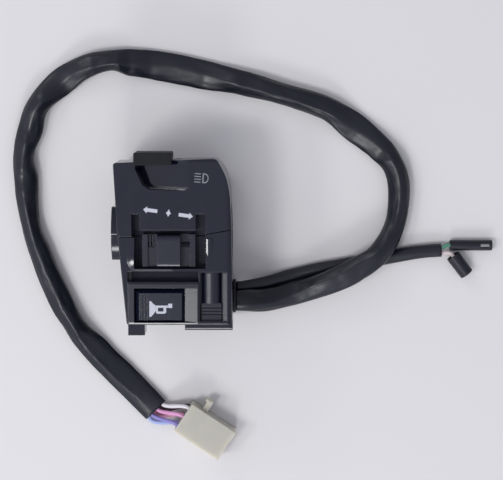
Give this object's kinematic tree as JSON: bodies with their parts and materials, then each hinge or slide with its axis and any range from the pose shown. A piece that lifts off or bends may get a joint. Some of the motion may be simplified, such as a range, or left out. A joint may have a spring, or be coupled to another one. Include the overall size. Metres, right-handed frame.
{
  "type": "handlebar switch cluster",
  "caption": "Left-hand handlebar switch cluster with dimmer slide, turn-signal knob and horn button in a split casing that clamps on the bar, with a sleeved harness, connector and branch lead.",
  "frame": {"origin": "on the handlebar axis at the middle of the control face", "axes": "+X along the handlebar towards the middle of the motorbike, +Y up as mounted, +Z towards the rider"},
  "size_m": [0.1856, 0.1586, 0.0445],
  "materials": {
    "casing_plastic": "gloss moulded black plastic",
    "thumb_plastic": "fine-grained matte moulding",
    "button_plastic": "satin moulded black plastic",
    "base_board": "pressed phenolic board",
    "natural_nylon": "natural moulded nylon",
    "contact_brass": "stamped",
    "steel": "zinc plated",
    "grommet_rubber": "moulded matte",
    "sleeve_vinyl": "glossy soft vinyl tube",
    "boot_vinyl": "soft vinyl sleeve",
    "wire_insulation": "extruded vinyl in several colours"
  },
  "bodies": {
    "casing": {"upper_casing": "casing_plastic", "lower_casing": "casing_plastic", "casing_screws": "steel", "cable_grommet": "grommet_rubber", "dimmer_base": "base_board", "dimmer_terminals": "contact_brass", "dimmer_base_screws": "steel", "turn_base": "base_board", "turn_terminals": "contact_brass", "turn_base_screws": "steel", "horn_spring": "steel", "horn_base": "base_board", "horn_terminals": "contact_brass", "horn_base_screws": "steel", "dimmer_leads": "wire_insulation", "turn_leads": "wire_insulation", "horn_leads": "wire_insulation", "harness_sleeve": "sleeve_vinyl", "connector_wires": "wire_insulation", "connector_housing": "natural_nylon", "connector_terminals": "contact_brass", "branch_sleeve": "sleeve_vinyl", "branch_wires": "wire_insulation", "bullet_boot": "boot_vinyl", "bullet_terminal": "contact_brass", "receptacle_boot": "boot_vinyl", "receptacle_terminal": "contact_brass"},
    "dimmer": {"dimmer_lever": "thumb_plastic", "dimmer_bridge": "contact_brass", "dimmer_detent_ball": "steel", "dimmer_detent_spring": "steel"},
    "turn": {"turn_knob": "button_plastic", "turn_carrier": "natural_nylon", "turn_bridge": "contact_brass", "turn_detent_ball": "steel", "turn_detent_spring": "steel"},
    "horn": {"horn_button": "button_plastic", "horn_bridge": "contact_brass"}
  },
  "joints": [
    {"name": "dimmer_slide", "type": "slide", "parent": "casing", "child": "dimmer", "axis": [1, 0, 0], "range_m": [0, 0.006]},
    {"name": "turn_slide", "type": "slide", "parent": "casing", "child": "turn", "axis": [1, 0, 0], "range_m": [-0.0024, 0.0024]},
    {"name": "horn_press", "type": "slide", "parent": "casing", "child": "horn", "axis": [0, 0, -1], "range_m": [0, 0.0022], "stiffness_N_per_m": 300, "springref_m": -0.003, "deforming": ["horn_spring"]}
  ]
}
